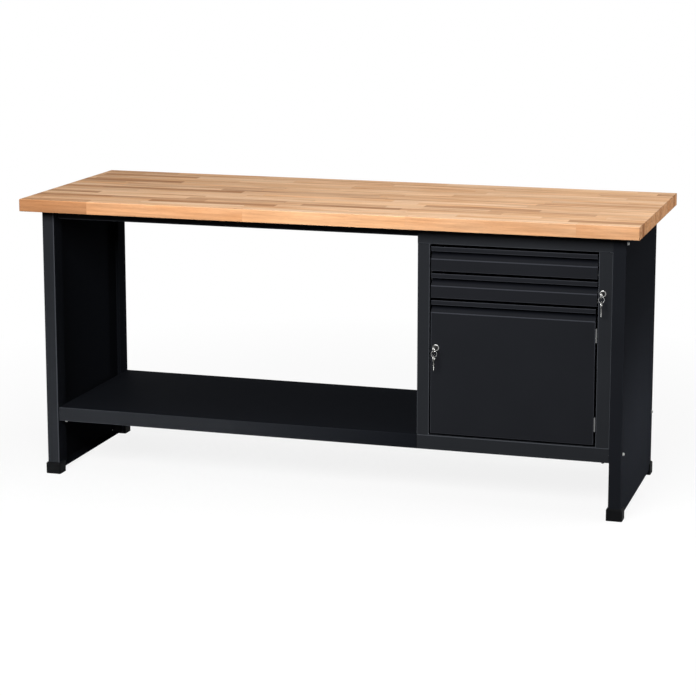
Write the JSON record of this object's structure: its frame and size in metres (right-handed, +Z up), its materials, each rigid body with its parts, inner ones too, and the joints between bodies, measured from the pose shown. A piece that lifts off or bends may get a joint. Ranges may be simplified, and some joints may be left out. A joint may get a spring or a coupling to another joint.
{
  "type": "workbench with cabinet",
  "caption": "Workbench with a thick beech worktop on folded steel side panels, an open bay with a bottom shelf, and a lockable cabinet of drawers over a hinged door.",
  "frame": {"origin": "on the floor under the centre of the worktop", "axes": "+X along the worktop towards the cabinet, -Y out of the front, +Z up"},
  "size_m": [2, 0.75, 0.92],
  "materials": {
    "beech": "oiled finger-jointed staves",
    "black_paint": "satin black powder coat",
    "foot_plastic": "moulded black plastic",
    "zinc_steel": "zinc plated",
    "chrome": "polished nickel plate"
  },
  "bodies": {
    "bench": {"worktop": "beech", "left_side_panel": "black_paint", "right_side_panel": "black_paint", "front_rail": "black_paint", "rear_rail": "black_paint", "bottom_shelf": "black_paint", "cabinet_left_wall": "black_paint", "cabinet_right_wall": "black_paint", "cabinet_floor": "black_paint", "cabinet_top_rail": "black_paint", "cabinet_back": "black_paint", "inner_shelf": "black_paint", "left_shelf_support": "black_paint", "right_shelf_support": "black_paint", "front_left_foot": "foot_plastic", "front_right_foot": "foot_plastic", "rear_left_foot": "foot_plastic", "rear_right_foot": "foot_plastic", "left_runner_plate": "zinc_steel", "right_runner_plate": "zinc_steel", "drawer_1_left_outer_slide": "zinc_steel", "drawer_1_right_outer_slide": "zinc_steel", "drawer_2_left_outer_slide": "zinc_steel", "drawer_2_right_outer_slide": "zinc_steel", "upper_hinge_frame_leaf": "zinc_steel", "upper_hinge_pin": "zinc_steel", "lower_hinge_frame_leaf": "zinc_steel", "lower_hinge_pin": "zinc_steel", "lower_locking_bar_stud": "zinc_steel", "upper_locking_bar_stud": "zinc_steel", "drawer_lock_housing": "chrome"},
    "drawer_1": {"drawer_1_front": "black_paint", "drawer_1_tray": "black_paint", "drawer_1_catch": "zinc_steel", "drawer_1_left_inner_slide": "zinc_steel", "drawer_1_right_inner_slide": "zinc_steel"},
    "drawer_1_middle": {"drawer_1_left_middle_slide": "zinc_steel", "drawer_1_right_middle_slide": "zinc_steel"},
    "drawer_2": {"drawer_2_front": "black_paint", "drawer_2_tray": "black_paint", "drawer_2_catch": "zinc_steel", "drawer_2_left_inner_slide": "zinc_steel", "drawer_2_right_inner_slide": "zinc_steel"},
    "drawer_2_middle": {"drawer_2_left_middle_slide": "zinc_steel", "drawer_2_right_middle_slide": "zinc_steel"},
    "door": {"door_panel": "black_paint", "upper_hinge_door_leaf": "zinc_steel", "lower_hinge_door_leaf": "zinc_steel", "door_lock_housing": "chrome"},
    "door_lock": {"door_lock_plug": "chrome", "door_lock_cam": "zinc_steel", "door_key": "chrome"},
    "door_ring": {"door_key_ring": "chrome", "door_spare_key": "chrome"},
    "drawer_lock": {"drawer_lock_plug": "chrome", "drawer_lock_cam": "zinc_steel", "drawer_key": "chrome"},
    "drawer_ring": {"drawer_key_ring": "chrome", "drawer_spare_key": "chrome"},
    "locking_bar": {"locking_bar": "zinc_steel"}
  },
  "joints": [
    {"name": "drawer_1_slide", "type": "slide", "parent": "bench", "child": "drawer_1", "axis": [0, -1, 0], "range_m": [0, 0.4]},
    {"name": "drawer_1_middle_slide", "type": "slide", "parent": "bench", "child": "drawer_1_middle", "axis": [0, -1, 0], "range_m": [0, 0.2]},
    {"name": "drawer_2_slide", "type": "slide", "parent": "bench", "child": "drawer_2", "axis": [0, -1, 0], "range_m": [0, 0.4]},
    {"name": "drawer_2_middle_slide", "type": "slide", "parent": "bench", "child": "drawer_2_middle", "axis": [0, -1, 0], "range_m": [0, 0.2]},
    {"name": "door_hinge", "type": "hinge", "parent": "bench", "child": "door", "pos_m": [0.8641, -0.304, 0.44235], "axis": [0, 0, 1], "range_deg": [0, 115]},
    {"name": "door_lock_turn", "type": "hinge", "parent": "door", "child": "door_lock", "pos_m": [0.3652, -0.303, 0.5042], "axis": [0, 1, 0], "range_deg": [0, 90]},
    {"name": "door_ring_hang", "type": "hinge", "parent": "door_lock", "child": "door_ring", "pos_m": [0.3652, -0.328, 0.49445], "axis": [0, 1, 0], "range_deg": [-90, 0]},
    {"name": "drawer_lock_turn", "type": "hinge", "parent": "bench", "child": "drawer_lock", "pos_m": [0.8817, -0.303, 0.7021], "axis": [0, -1, 0], "range_deg": [0, 90]},
    {"name": "drawer_ring_hang", "type": "hinge", "parent": "drawer_lock", "child": "drawer_ring", "pos_m": [0.8817, -0.328, 0.69235], "axis": [0, -1, 0], "range_deg": [-90, 0]},
    {"name": "locking_bar_lift", "type": "slide", "parent": "bench", "child": "locking_bar", "axis": [0, 0, 1], "range_m": [0, 0.007]}
  ],
  "couplings": [
    {"joint": "drawer_1_middle_slide", "follows": "drawer_1_slide", "ratio": 0.5},
    {"joint": "drawer_2_middle_slide", "follows": "drawer_2_slide", "ratio": 0.5},
    {"joint": "door_ring_hang", "follows": "door_lock_turn", "ratio": -1},
    {"joint": "drawer_ring_hang", "follows": "drawer_lock_turn", "ratio": -1},
    {"joint": "locking_bar_lift", "follows": "drawer_lock_turn", "m_per_rad": 0.004456}
  ]
}
